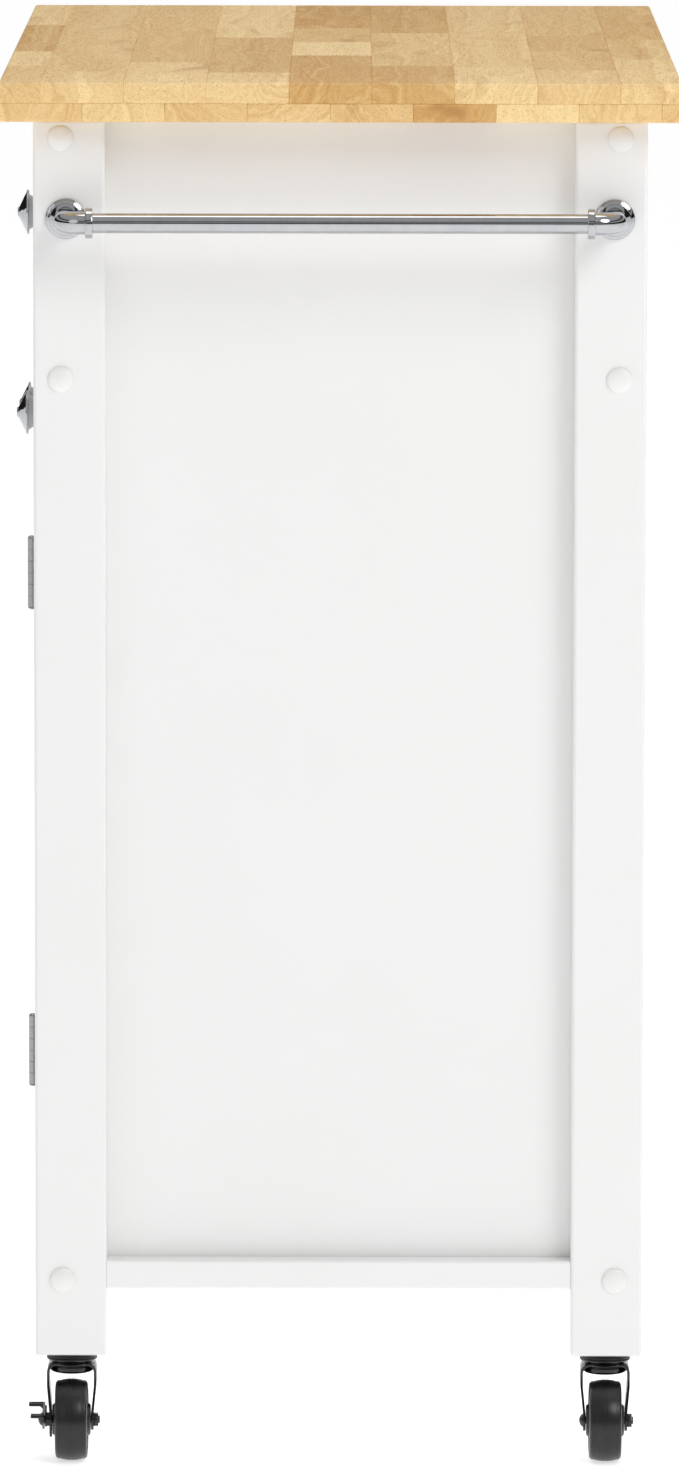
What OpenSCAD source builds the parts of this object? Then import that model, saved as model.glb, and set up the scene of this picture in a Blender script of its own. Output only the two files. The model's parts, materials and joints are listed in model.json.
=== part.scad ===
// Kitchen island cart: a butcher-block worktop on a white cabinet with one drawer and two doors,
// four swivel casters and a chrome towel bar on the right-hand end. Millimetres, +Z up.
// X runs along the worktop, the doors face -Y, and the floor is at z = 0.

/* [Worktop] */
// Length of the worktop along X
top_l = 760; // [600:1:1000]
// Depth of the worktop along Y
top_w = 435; // [360:1:560]
// Thickness of the worktop
top_t = 25; // [20:0.5:40]
// Edge rounding of the worktop
top_round = 2; // [1:0.5:5]
// Overhang of the worktop past the legs at each end
overhang_l = 22; // [10:0.5:35]
// Overhang of the worktop past the legs at the front and the back
overhang_w = 21.5; // [12:0.5:30]

/* [Frame] */
// Height of the worktop's surface above the floor
total_h = 896.5; // [740:0.5:1100]
// Side of the square legs
leg_size = 46; // [38:1:56]
// Edge rounding of the legs
leg_round = 2.5; // [1:0.5:4]
// Thickness of the two end panels
panel_t = 12; // [9:0.5:16]
// Depth of the grooves that hold the end panels
panel_groove = 8; // [5:0.5:10]
// Gap left on each side of a panel, board or shelf in its groove or seat
wood_fit = 0.2; // [0.1:0.05:0.4]
// Thickness of the back panels
back_t = 4; // [3:0.5:6]
// Depth of the grooves that hold the back panels
back_groove = 5; // [3:0.5:5]

/* [Rails] */
// Thickness of the long rails
rail_t = 23; // [20:0.5:30]
// Distance that the long rails stand behind the legs' faces
rail_set_back = 6; // [2:0.5:8]
// Edge rounding of rails, doors and the drawer front
rail_round = 1.5; // [0.5:0.5:2]
// Height of the rails under the worktop
top_rail_h = 24; // [22:0.5:34]
// Height of the opening for the drawer
drawer_opening_h = 131; // [115:1:170]
// Height of the rails between the drawer and the doors
mid_rail_h = 22; // [22:0.5:34]
// Height of the bottom rails
bottom_rail_h = 36; // [36:0.5:50]
// Height of the bottom rails' lower edge above the floor
bottom_rail_z = 102.5; // [96:0.5:130]
// Height of the short end rails
end_rail_h = 18.5; // [16:0.5:30]
// Thickness of the short end rails
end_rail_t = 30; // [26:0.5:34]
// Distance of the end rails' middles from the legs' middles, outwards
end_rail_out = 6.5; // [3:0.5:8]
// Height of the end rails' lower edge above the floor
end_rail_z = 114.5; // [108:0.5:126]
// Depth of the seat in the end rails that holds the end panels
end_rail_seat = 6; // [4:0.5:6]

/* [Boards] */
// Thickness of the bottom board and the shelf
board_t = 12; // [9:0.5:12.5]
// Depth of the seat in the bottom rails that holds the bottom board
board_seat = 8; // [5:0.5:10]
// Height of the shelf's underside above the floor
shelf_z = 396.5; // [300:0.5:500]
// Gap between the shelf and each end panel
shelf_gap = 0.8; // [0.5:0.1:2]
// Diameter of the shelf pins
shelf_pin_d = 5; // [4:0.5:6]
// Depth of the shelf pins in the end panels
shelf_pin_in = 8; // [6:0.5:8]
// Length of the shelf pins that stands out of the end panels
shelf_pin_out = 8; // [6:0.5:12]
// Step between the heights that the shelf can have
shelf_step = 32; // [25:1:40]
// Distance of the shelf pins from the legs
shelf_pin_edge = 40; // [20:1:70]

/* [Fasteners] */
// Diameter of the frame bolts
bolt_d = 6; // [5:0.5:6]
// Diameter of the frame bolts' heads
bolt_head_d = 13; // [11:0.5:13]
// Length of the frame bolts' heads
bolt_head_l = 4; // [3:0.5:5]
// Depth of the counterbores for the bolt heads
bolt_sink = 9; // [8:0.5:12]
// Diameter of the barrel nuts
nut_d = 10; // [9:0.5:10]
// Length of the barrel nuts
nut_l = 14; // [12:0.5:16]
// Distance of the barrel nuts from the ends of their rails
nut_in = 30; // [25:1:40]
// Diameter of the bolt caps
cap_d = 16.5; // [15.5:0.5:19]
// Height of the bolt caps' domes
cap_h = 3.2; // [2:0.2:4]
// Diameter of the dowels and of the holes for them
dowel_d = 8; // [6:0.5:8]
// Length of the dowels
dowel_l = 30; // [24:1:34]
// Diameter of the screws that hold the worktop
screw_d = 4; // [3:0.5:5]
// Depth of those screws in the worktop
screw_bite = 15; // [10:0.5:16]
// Radial gap around bolts, nuts and screws in their holes
hole_fit = 0.3; // [0.2:0.05:0.5]
// Radial gap of a turning or threaded fit
run_fit = 0.06; // [0.03:0.01:0.09]

/* [Drawer] */
// Thickness of the drawer front and the doors
front_t = 18; // [15:0.5:22]
// Gap around the drawer front
drawer_gap = 3; // [2:0.5:4]
// Thickness of the drawer's sides and back
drawer_side_t = 12; // [10:0.5:15]
// Height of the drawer's sides
drawer_side_h = 90; // [70:1:95]
// Height of the drawer's sides above the middle rail
drawer_lift = 10; // [8:1:14]
// Room left between the drawer's back and the rear rails
drawer_room = 15; // [12:1:80]
// Thickness of the drawer's bottom
drawer_bottom_t = 5; // [4:0.5:6]
// Depth of the grooves that hold the drawer's bottom
drawer_groove = 6; // [4:0.5:7]
// Height of the drawer's bottom above the lower edge of its sides
drawer_bottom_up = 8; // [6:0.5:12]
// Width left for the runner on each side of the drawer
runner_w = 13; // [12.5:0.1:16]
// Height of the runner fixed to the legs
runner_h = 35; // [30:0.5:45]
// Thickness of the runners' sheet metal
runner_t = 1.2; // [1:0.1:1.6]
// Gap between the sliding and the fixed runner
runner_gap = 0.4; // [0.3:0.05:0.6]

/* [Doors] */
// Gap above and below the doors
door_gap = 2; // [1.5:0.5:4]
// Gap between the two doors
meet_gap = 2; // [2:0.5:4]
// Width of the doors' stiles and rails
stile_w = 50; // [40:1:70]
// Thickness of the door panels
door_panel_t = 6; // [4:0.5:8]
// Depth of the grooves that hold the door panels
door_groove = 6; // [4:0.5:8]
// Height of the door knobs below the doors' top edges
knob_drop = 43; // [35:1:80]

/* [Hinges] */
// Length of a hinge
hinge_l = 45; // [38:0.5:60]
// Thickness of a hinge leaf
leaf_t = 0.9; // [0.8:0.1:1.2]
// Gap between the two closed leaves, also between their knuckles
leaf_gap = 0.2; // [0.15:0.05:0.3]
// Depth of a leaf, from the hinge pin backwards
leaf_w = 20; // [15:0.5:20.5]
// Diameter of a hinge's barrel
barrel_d = 5.2; // [4.8:0.1:5.6]
// Distance of the hinge pin in front of the doors
barrel_out = 2.7; // [2.7:0.1:3.4]
// Diameter of a hinge pin
hinge_pin_d = 2.4; // [2:0.1:2.6]
// Distance of the upper hinges below the doors' top edges
hinge_top = 117; // [60:1:160]
// Distance of the lower hinges above the doors' bottom edges
hinge_bottom = 123; // [60:1:160]

/* [Knobs] */
// Diameter of a knob's rim
knob_d = 30; // [25:0.5:36]
// Length of a knob
knob_l = 21.5; // [20:0.5:32]
// Diameter of a knob's foot
knob_foot_d = 24; // [18:0.5:26]
// Diameter of a knob's screw
knob_screw_d = 4; // [3:0.5:5]

/* [Towel bar] */
// Distance of the towel bar's feet from the middles of their legs, outwards
bar_foot_out = 2; // [0:0.5:8]
// Distance of the towel bar's middle below the worktop
bar_drop = 63; // [30:1:120]
// Diameter of the towel bar
bar_d = 12.7; // [10:0.1:16]
// Wall of the towel bar's tube
bar_wall = 1.2; // [0.8:0.1:2]
// Distance of the towel bar's middle from the legs' outer faces
bar_out = 35; // [30:0.5:60]
// Diameter of the towel bar's feet
foot_d = 26; // [22:0.5:32]
// Bend radius of the towel bar's elbows
elbow_r = 13; // [11:0.5:16]
// Diameter of the elbows
elbow_d = 14.4; // [13:0.1:17]
// Diameter of the collars
collar_d = 19.5; // [18:0.5:24]
// Length of the collars
collar_l = 5; // [4:0.5:8]
// Diameter of the studs that hold the feet
stud_d = 5; // [4:0.5:6]

/* [Casters] */
// Diameter of a wheel
wheel_d = 53; // [44:0.5:64]
// Height of a caster above its wheel, up to the leg
caster_top = 17.5; // [17:0.5:32]
// Width of a wheel's tread
tread_w = 21; // [16:0.5:22]
// Thickness of a wheel's tread
tread_t = 6; // [4:0.5:8]
// Width of a wheel's hub
hub_w = 24.6; // [22:0.1:25]
// Gap between a hub and the fork on each side
hub_gap = 0.4; // [0.3:0.05:0.8]
// Distance of the wheel's axle from the swivel pin
trail = 12; // [6:0.5:20]
// Thickness of the fork's sheet metal
fork_t = 1.6; // [1.4:0.1:2]
// Width of the fork at its shoulders
fork_w = 32; // [30:0.1:36]
// Diameter of the axle
axle_d = 5; // [4:0.5:6]
// Diameter of the caster's threaded stem
stem_d = 10; // [8:0.5:10]
// Length of the stem in the leg
stem_l = 25; // [20:1:30]
// Diameter of the raceway's rim
race_d = 33.4; // [30:0.2:36]
// Thickness of a brake lever
lever_t = 1.4; // [1.2:0.1:2]
// Distance of a brake lever from its fork
lever_out = 3.2; // [2.5:0.1:4]

/* [Hidden] */
$fn = 64;
paint = [0.94, 0.94, 0.93];
wood = [0.83, 0.66, 0.43];
birch = [0.86, 0.76, 0.60];
chrome = [0.78, 0.79, 0.81];
steel = [0.62, 0.63, 0.65];
black = [0.09, 0.09, 0.10];
nylon = [0.92, 0.92, 0.90];

// Outer sizes of the cabinet, the clear space between its legs, and its heights.
body_l = top_l - 2 * overhang_l;
body_w = top_w - 2 * overhang_w;
leg_x = (body_l - leg_size) / 2;
leg_y = (body_w - leg_size) / 2;
in_l = body_l - 2 * leg_size;
in_w = body_w - 2 * leg_size;
under_top = total_h - top_t;
caster_h = wheel_d + caster_top;
bar_span = 2 * (leg_y + bar_foot_out);
bar_z = under_top - bar_drop;
shelf_pin_y = in_w / 2 - shelf_pin_edge;
top_rail_z = under_top - top_rail_h;
mid_rail_top = top_rail_z - drawer_opening_h;
mid_rail_z = mid_rail_top - mid_rail_h;
bottom_rail_top = bottom_rail_z + bottom_rail_h;
rail_y = body_w / 2 - rail_set_back - rail_t / 2;
rail_in_y = rail_y - rail_t / 2;
rail_zs = [bottom_rail_z, mid_rail_z, top_rail_z];
rail_hs = [bottom_rail_h, mid_rail_h, top_rail_h];
bolt_zs = [for (i = [0:2]) rail_zs[i] + rail_hs[i] / 2];
panel_in_x = leg_x - panel_t / 2;
end_rail_x = leg_x + end_rail_out;
slot_w = panel_t + 2 * wood_fit;
back_slot_w = back_t + 2 * wood_fit;
skin = 0.01;

// The origin is under the middle of the whole cart, its knobs and towel bar included.
shift_x = -(body_l / 2 + bar_out + collar_d / 2 - top_l / 2) / 2;
shift_y = (max(body_w / 2 + knob_l, top_w / 2) - top_w / 2) / 2;

// Moves a piece from the cabinet's middle to its place over the origin.
module on_cart() translate([shift_x, shift_y, 0]) children();

// A rectangle with round corners, centred.
module rounded_rect(w, h, r) {
    square([w - 2 * r, h], center = true);
    square([w, h - 2 * r], center = true);
    for (x = [-1, 1], y = [-1, 1])
        translate([x * (w / 2 - r), y * (h / 2 - r)]) circle(r);
}

// A block with every edge rounded, centred.
module soft_block(size, r) {
    intersection() {
        linear_extrude(size.z, center = true) rounded_rect(size.x, size.y, r);
        rotate([90, 0, 0]) linear_extrude(size.y, center = true) rounded_rect(size.x, size.z, r);
        rotate([90, 0, 90]) linear_extrude(size.x, center = true) rounded_rect(size.y, size.z, r);
    }
}

// A bar along X, along Y or along Z with its long edges rounded, centred.
module bar_x(l, w, h, r) rotate([90, 0, 90]) linear_extrude(l, center = true) rounded_rect(w, h, r);
module bar_y(w, l, h, r) rotate([90, 0, 0]) linear_extrude(l, center = true) rounded_rect(w, h, r);
module bar_z(w, d, l, r) linear_extrude(l, center = true) rounded_rect(w, d, r);

// Turn a piece that is drawn along +Z so that it points along X or Y, to the side s = -1 or 1.
module along_x(s = 1) rotate([0, 90 * s, 0]) children();
module along_y(s = 1) rotate([-90 * s, 0, 0]) children();

// A cylinder centred on its own middle.
module rod(d, l) cylinder(d = d, h = l, center = true);

// A round cap with a spherical top, standing on z = 0.
module dome(d, h) {
    r = (d * d / 4 + h * h) / (2 * h);
    intersection() {
        translate([0, 0, h - r]) sphere(r);
        cylinder(d = d + 1, h = h);
    }
}

// Puts its children at all four legs, or at each bolt of one leg.
module at_legs() for (sx = [-1, 1], sy = [-1, 1]) translate([sx * leg_x, sy * leg_y, 0]) children();
module at_bolts() for (sx = [-1, 1], sy = [-1, 1], z = bolt_zs)
    translate([sx * body_l / 2, sy * rail_y, z]) along_x(sx) children();

// ---- Worktop ----

screw_xs = [-in_l / 3, 0, in_l / 3];

module at_worktop_screws() for (x = screw_xs, sy = [-1, 1])
    translate([x, sy * rail_y, under_top]) children();

module worktop() color(wood) on_cart() difference() {
    translate([0, 0, under_top + top_t / 2]) soft_block([top_l, top_w, top_t], top_round);
    at_worktop_screws() translate([0, 0, -1]) cylinder(d = screw_d, h = screw_bite + 1);
}

module worktop_screws() color(steel) on_cart() at_worktop_screws() {
    translate([0, 0, screw_bite - 1]) mirror([0, 0, 1])
        cylinder(d = screw_d, h = screw_bite - 1 + screw_sink);
    translate([0, 0, -screw_sink - screw_head_h]) cylinder(d = screw_head_d, h = screw_head_h);
}

// ---- Legs ----

module leg(sx, sy) on_cart() difference() {
    translate([sx * leg_x, sy * leg_y, (under_top + caster_h) / 2])
        soft_block([leg_size, leg_size, under_top - caster_h], leg_round);
    // Groove for the end panel.
    translate([sx * leg_x, sy * in_w / 2, (under_top + end_rail_z + end_rail_h) / 2])
        cube([slot_w, 2 * panel_groove, under_top - end_rail_z - end_rail_h + 2 * end_rail_seat],
             center = true);
    // Grooves for the back panels.
    if (sy > 0) for (span = back_spans)
        translate([sx * in_l / 2, rail_y, (span[0] + span[1]) / 2])
            cube([2 * back_groove, back_slot_w, span[1] - span[0] + 2 * back_groove], center = true);
    // Bolt holes with their counterbores.
    for (z = bolt_zs) translate([sx * body_l / 2, sy * rail_y, z]) along_x(-sx) {
        translate([0, 0, -1]) cylinder(d = bolt_d + 2 * hole_fit, h = leg_size + 2);
        translate([0, 0, -1]) cylinder(d = bolt_head_d + 2 * hole_fit, h = bolt_sink + 1);
    }
    // Holes for the dowels of the end rail.
    for (d = dowel_dx)
        translate([sx * (end_rail_x + d), sy * in_w / 2, dowel_z]) along_y(sy) rod(dowel_d, dowel_l);
    // Seat of the stem insert.
    translate([sx * leg_x, sy * leg_y, caster_h - 1]) cylinder(d = insert_d, h = stem_l + 3);
    // Holes for the hinge screws.
    if (sy < 0) at_hinges(sx) at_leaf_screws() leaf_screw();
    // Hole for the towel bar's stud.
    if (sx > 0) translate([body_l / 2, sy * bar_span / 2, bar_z]) along_x(-1)
        translate([0, 0, -1]) cylinder(d = stud_d, h = stud_in + 1);
}
module leg_front_left() color(paint) leg(-1, -1);
module leg_front_right() color(paint) leg(1, -1);
module leg_rear_left() color(paint) leg(-1, 1);
module leg_rear_right() color(paint) leg(1, 1);

// ---- Rails ----

// A long rail from leg to leg with its bolt and barrel nut holes; s is -1 at the front, 1 at the back.
module long_rail(i, s) difference() {
    translate([0, s * rail_y, rail_zs[i] + rail_hs[i] / 2]) bar_x(in_l, rail_t, rail_hs[i], rail_round);
    for (sx = [-1, 1]) {
        translate([sx * in_l / 2, s * rail_y, bolt_zs[i]]) along_x(-sx)
            translate([0, 0, -1]) cylinder(d = bolt_d + 2 * hole_fit, h = nut_in + bolt_past_nut + 2);
        translate([sx * (in_l / 2 - nut_in), s * (rail_in_y - 1), bolt_zs[i]]) along_y(s)
            cylinder(d = nut_d + 2 * hole_fit, h = 1 + (rail_t + nut_l) / 2);
    }
    // Screw holes of the top rails, with a recess for each head.
    if (i == 2) for (x = screw_xs) translate([x, s * rail_y, top_rail_z - 1]) {
        cylinder(d = screw_d + 2 * hole_fit, h = top_rail_h + 2);
        cylinder(d = screw_head_d + 2 * hole_fit, h = top_rail_h - screw_sink + 1);
    }
    // Seat of the bottom board.
    if (i == 0) translate([0, s * (rail_in_y + (board_seat - 1) / 2), bottom_rail_top - board_t / 2 + 1])
        cube([in_l + 2, board_seat + 1, board_t + 2], center = true);
}

module front_rails() color(paint) on_cart() for (i = [0:2]) long_rail(i, -1);

module rear_rails() color(paint) on_cart() difference() {
    for (i = [0:2]) long_rail(i, 1);
    for (span = back_spans) translate([0, rail_y, (span[0] + span[1]) / 2])
        cube([in_l + 2, back_slot_w, span[1] - span[0] + 2 * back_groove], center = true);
}

module end_rails() color(paint) on_cart() for (sx = [-1, 1]) difference() {
    translate([sx * end_rail_x, 0, end_rail_z + end_rail_h / 2])
        bar_y(end_rail_t, in_w, end_rail_h, rail_round);
    translate([sx * leg_x, 0, end_rail_z + end_rail_h - end_rail_seat / 2 + 1])
        cube([slot_w, in_w + 2, end_rail_seat + 2], center = true);
    for (d = dowel_dx, sy = [-1, 1])
        translate([sx * (end_rail_x + d), sy * in_w / 2, dowel_z]) along_y(sy) rod(dowel_d, dowel_l);
}

module rail_dowels() color(birch) on_cart() for (sx = [-1, 1], sy = [-1, 1], d = dowel_dx)
    translate([sx * (end_rail_x + d), sy * in_w / 2, dowel_z]) along_y(sy) rod(dowel_d, dowel_l - 2);

// ---- Panels and boards ----

module side_panel(sx) on_cart() difference() {
    z0 = end_rail_z + end_rail_h - end_rail_seat;
    translate([sx * leg_x, 0, (z0 + under_top) / 2])
        cube([panel_t, in_w + 2 * (panel_groove - wood_fit), under_top - z0], center = true);
    for (sy = [-1, 1], k = [-1:1])
        translate([sx * (panel_in_x - 1), sy * shelf_pin_y, shelf_z - shelf_pin_d / 2 + k * shelf_step])
            along_x(sx) cylinder(d = shelf_pin_d + 2 * run_fit, h = shelf_pin_in + 1);
}
module side_panel_left() color(paint) side_panel(-1);
module side_panel_right() color(paint) side_panel(1);

back_spans = [[bottom_rail_top, mid_rail_z], [mid_rail_top, top_rail_z]];

module back_panels() color(paint) on_cart() for (span = back_spans)
    translate([0, rail_y, (span[0] + span[1] - wood_fit) / 2])
        cube([in_l + 2 * (back_groove - wood_fit), back_t, span[1] - span[0] + 2 * back_groove - wood_fit],
             center = true);

// A board that reaches between the legs, and further out where there are none.
module bottom_board() color(paint) on_cart() translate([0, 0, bottom_rail_top - board_t]) {
    long_l = in_l - 2 * wood_fit;
    long_w = 2 * (rail_in_y + board_seat - wood_fit);
    wide_l = 2 * (end_rail_x - end_rail_t / 2 - wood_fit);
    linear_extrude(board_t) {
        square([long_l, long_w], center = true);
        square([wide_l, in_w - 2 * wood_fit], center = true);
    }
}

module shelf() color(paint) on_cart() translate([0, 0, shelf_z + board_t / 2])
    bar_x(2 * (panel_in_x - shelf_gap), in_w - 2 * shelf_gap, board_t, rail_round);

module shelf_pins() color(steel) on_cart() for (sx = [-1, 1], sy = [-1, 1])
    translate([sx * (panel_in_x + (shelf_pin_in - shelf_pin_out) / 2), sy * shelf_pin_y,
               shelf_z - shelf_pin_d / 2])
        along_x(sx) rod(shelf_pin_d, shelf_pin_in + shelf_pin_out);

// ---- Fasteners ----

bolt_past_nut = 10;
stud_in = 25;
stud_out = 6;
insert_d = 13;
screw_head_d = 8;
screw_head_h = 3;
screw_sink = 12;
dowel_dx = [-8, 8];
dowel_z = end_rail_z + (end_rail_h - end_rail_seat) / 2;

module frame_bolts() color(steel) on_cart() at_bolts() mirror([0, 0, 1]) translate([0, 0, bolt_sink]) {
    mirror([0, 0, 1]) cylinder(d = bolt_head_d, h = bolt_head_l);
    cylinder(d = bolt_d, h = leg_size - bolt_sink + nut_in + bolt_past_nut);
}

module barrel_nuts() color(steel) on_cart() for (sx = [-1, 1], sy = [-1, 1], z = bolt_zs)
    translate([sx * (in_l / 2 - nut_in), sy * rail_y, z]) difference() {
        along_y() rod(nut_d, nut_l);
        along_x() rod(bolt_d + 2 * run_fit, nut_d + 2);
    }

module bolt_caps() color(nylon) on_cart() at_bolts() {
    dome(cap_d, cap_h);
    translate([0, 0, -cap_plug]) cylinder(d = bolt_head_d, h = cap_plug + skin);
}
cap_plug = 4;

// ---- Hinges and catches ----

hinge_room = 2 * leaf_t + leaf_gap;
door_w = in_l / 2 - hinge_room - meet_gap / 2;
door_h = mid_rail_z - bottom_rail_top - 2 * door_gap;
door_z = bottom_rail_top + door_gap;
hinge_x = in_l / 2 - hinge_room / 2;
hinge_y = -body_w / 2 - barrel_out;
hinge_zs = [door_z + hinge_bottom, door_z + door_h - hinge_top];
knuckles = 6;
pin_cap_h = 1.4;
knuckle_l = hinge_l / knuckles;

// One leaf with its knuckles, the pin along Z through the origin, the leaf on the +X side of it.
// First is 0 or 1: which of the knuckles, counted from below, belong to this leaf.
module hinge_leaf(first) difference() {
    union() {
        translate([leaf_gap / 2, 0, -hinge_l / 2]) cube([leaf_t, leaf_w, hinge_l]);
        for (i = [first:2:knuckles - 1]) translate([0, 0, -hinge_l / 2 + i * knuckle_l + leaf_gap / 2])
            cylinder(d = barrel_d, h = knuckle_l - leaf_gap);
    }
    for (i = [1 - first:2:knuckles - 1]) translate([0, 0, -hinge_l / 2 + i * knuckle_l - leaf_gap / 2])
        cylinder(d = barrel_d + 0.6, h = knuckle_l + leaf_gap);
    rod(hinge_pin_d + 2 * run_fit, hinge_l + 2);
    at_leaf_screws() leaf_screw(run_fit);
}

// The countersunk screws of one leaf, pointing away from the pin.
leaf_screw_d = 3;
leaf_screw_l = 15;
leaf_screw_y = 12.4;
module at_leaf_screws() for (k = [-1:1])
    translate([leaf_gap / 2, leaf_screw_y, k * hinge_l / 3]) along_x() children();
module leaf_screw(fit = 0) {
    cylinder(d1 = leaf_screw_d + 2 * (leaf_t + fit), d2 = leaf_screw_d + 2 * fit, h = leaf_t);
    cylinder(d = leaf_screw_d, h = leaf_screw_l);
}

module at_hinges(sx) for (z = hinge_zs)
    translate([sx * hinge_x, hinge_y, z]) mirror([sx < 0 ? 1 : 0, 0, 0]) children();

module hinge_frame_leaves() color(steel) on_cart() for (sx = [-1, 1]) at_hinges(sx) {
    hinge_leaf(0);
    at_leaf_screws() leaf_screw();
}

module hinge_pins() color(steel) on_cart() for (sx = [-1, 1]) at_hinges(sx) {
    rod(hinge_pin_d, hinge_l + 2 * leaf_gap);
    for (s = [0, 1]) mirror([0, 0, s]) translate([0, 0, hinge_l / 2 + leaf_gap]) dome(barrel_d, pin_cap_h);
}

catch_l = 40;
catch_w = 14;
catch_h = 12;
catch_from_middle = 12;
strike_t = 1;
strike_h = 10;
strike_edge = 2;
strike_down = 1;
catch_gap = 0.3;
catch_x = catch_l / 2 + catch_from_middle;
catch_y = -body_w / 2 + front_t + strike_t + catch_gap;

module door_catches() color(nylon) on_cart() for (sx = [-1, 1])
    translate([sx * catch_x, catch_y + catch_w / 2, mid_rail_z - catch_h / 2])
        cube([catch_l, catch_w, catch_h], center = true);

// ---- Doors, drawn for the right-hand side and mirrored for the left ----

door_x = meet_gap / 2;
door_clear_w = door_w - 2 * stile_w;
door_clear_h = door_h - 2 * stile_w;

module door_side(sx) on_cart() mirror([sx < 0 ? 1 : 0, 0, 0])
    translate([door_x, -body_w / 2, door_z]) children();

module door_frame() difference() {
    union() {
        for (x = [stile_w / 2, door_w - stile_w / 2])
            translate([x, front_t / 2, door_h / 2]) soft_block([stile_w, front_t, door_h], rail_round);
        for (z = [stile_w / 2, door_h - stile_w / 2])
            translate([door_w / 2, front_t / 2, z]) bar_x(door_clear_w, front_t, stile_w, rail_round);
    }
    translate([door_w / 2, front_t / 2, door_h / 2])
        cube([door_clear_w + 2 * door_groove, door_panel_t + 2 * wood_fit, door_clear_h + 2 * door_groove],
             center = true);
    knob_at() translate([0, 0, -front_t - 1]) cylinder(d = knob_screw_d + 2 * hole_fit, h = front_t + 2);
    for (z = hinge_zs) translate([hinge_x - door_x, -barrel_out, z - door_z]) mirror([1, 0, 0])
        at_leaf_screws() leaf_screw();
}

// The middle of the door knob's foot, pointing forwards.
module knob_at() translate([stile_w / 2, 0, door_h - knob_drop]) along_y(-1) children();

module door_panel() translate([door_w / 2, front_t / 2, door_h / 2])
    cube([door_clear_w + 2 * (door_groove - wood_fit), door_panel_t,
          door_clear_h + 2 * (door_groove - wood_fit)], center = true);

// The door's hinge leaves and the strike plate of its catch.
module door_fittings(sx) {
    on_cart() at_hinges(sx) mirror([1, 0, 0]) {
        hinge_leaf(1);
        at_leaf_screws() leaf_screw();
    }
    door_side(sx) translate([catch_x - door_x, front_t + strike_t / 2, door_h - strike_down - strike_h / 2])
        cube([catch_l - 2 * strike_edge, strike_t, strike_h], center = true);
}

module door_frame_left() color(paint) door_side(-1) door_frame();
module door_frame_right() color(paint) door_side(1) door_frame();
module door_panel_left() color(paint) door_side(-1) door_panel();
module door_panel_right() color(paint) door_side(1) door_panel();
module door_fittings_left() color(steel) door_fittings(-1);
module door_fittings_right() color(steel) door_fittings(1);
module door_knob_left() color(chrome) door_side(-1) knob_at() knob();
module door_knob_right() color(chrome) door_side(1) knob_at() knob();

// ---- Knobs ----

// Points along an arc round (cx, cy), from angle a0 to angle a1 in n steps.
function arc(cx, cy, r, a0, a1, n) =
    [for (i = [0:n]) let (a = a0 + (a1 - a0) * i / n) [cx + r * cos(a), cy + r * sin(a)]];

knob_foot_t = 1.4;
knob_rim_t = 1.6;
knob_cone_l = 7;
knob_neck = 0.4;
knob_neck_r = 3.4;
knob_waist = 0.7;
// The cone's steps: the share of the rim's radius, and the distance in front of the rim.
knob_cone = [[0.9, 1.1], [0.72, 2.5], [0.56, 3.6], [0.42, 4.6], [0.31, 5.3]];
knob_tip_d = 6.8;
knob_head_h = 2;

// A stepped knob on its foot at z = 0, with its screw behind it. From its foot it curves in to a
// neck, out to a thin round rim, and in again in a short cone to its small tip.
module knob() {
    rim = knob_d / 2;
    foot = knob_foot_d / 2;
    thread = knob_l / 2;
    rim_z = knob_l - knob_cone_l;
    rim_r = knob_rim_t / 2;
    difference() {
        rotate_extrude() polygon(concat(
            [[0, 0], [foot, 0], [foot, knob_foot_t]],
            arc(foot - knob_neck, knob_foot_t + knob_neck_r, knob_neck_r, 270, 180, 6),
            [[knob_waist * rim, rim_z - 3.2], [rim - 3, rim_z - 1]],
            arc(rim - rim_r, rim_z, rim_r, -70, 70, 5),
            [for (step = knob_cone) [step[0] * rim, rim_z + step[1]]],
            arc(knob_tip_d / 2 - 1, knob_l - 1, 1, 10, 90, 4),
            [[0, knob_l]]));
        translate([0, 0, -1]) cylinder(d = knob_screw_d + 2 * run_fit, h = thread + 1);
    }
    translate([0, 0, -front_t]) {
        cylinder(d = knob_screw_d, h = front_t + thread - 1);
        mirror([0, 0, 1]) cylinder(d = 2 * knob_screw_d, h = knob_head_h);
    }
}

// ---- Drawer ----

drawer_z = mid_rail_top + drawer_lift;
drawer_y = -body_w / 2 + front_t;
drawer_l = rail_in_y - drawer_room - drawer_y;
drawer_in = in_l / 2 - runner_w - drawer_side_t;
drawer_bottom_z = drawer_z + drawer_bottom_up;
drawer_slot_top = drawer_bottom_z + drawer_bottom_t + 2 * wood_fit;
drawer_mid_z = mid_rail_top + drawer_opening_h / 2;
runner_up = 2;
runner_z = drawer_z + runner_up + runner_h / 2;
runner_side_gap = 1;
runner_end_gap = 2;
runner_leg_gap = 5;

module drawer_front() color(paint) on_cart() difference() {
    translate([0, -body_w / 2 + front_t / 2, drawer_mid_z])
        soft_block([in_l - 2 * drawer_gap, front_t, drawer_opening_h - 2 * drawer_gap], rail_round);
    translate([0, drawer_y + 1, drawer_mid_z]) along_y(-1)
        cylinder(d = knob_screw_d + 2 * hole_fit, h = front_t + 2);
}

module drawer_sides() color(birch) on_cart() for (sx = [-1, 1]) difference() {
    translate([sx * (drawer_in + drawer_side_t / 2), drawer_y + drawer_l / 2, drawer_z + drawer_side_h / 2])
        cube([drawer_side_t, drawer_l, drawer_side_h], center = true);
    translate([sx * (drawer_in + (drawer_groove - 1) / 2), drawer_y + drawer_l / 2,
               (drawer_bottom_z + drawer_slot_top) / 2])
        cube([drawer_groove + 1, drawer_l + 2, drawer_slot_top - drawer_bottom_z], center = true);
}

module drawer_back() color(birch) on_cart()
    translate([-drawer_in, drawer_y + drawer_l - drawer_side_t, drawer_slot_top])
        cube([2 * drawer_in, drawer_side_t, drawer_z + drawer_side_h - drawer_slot_top]);

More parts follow.
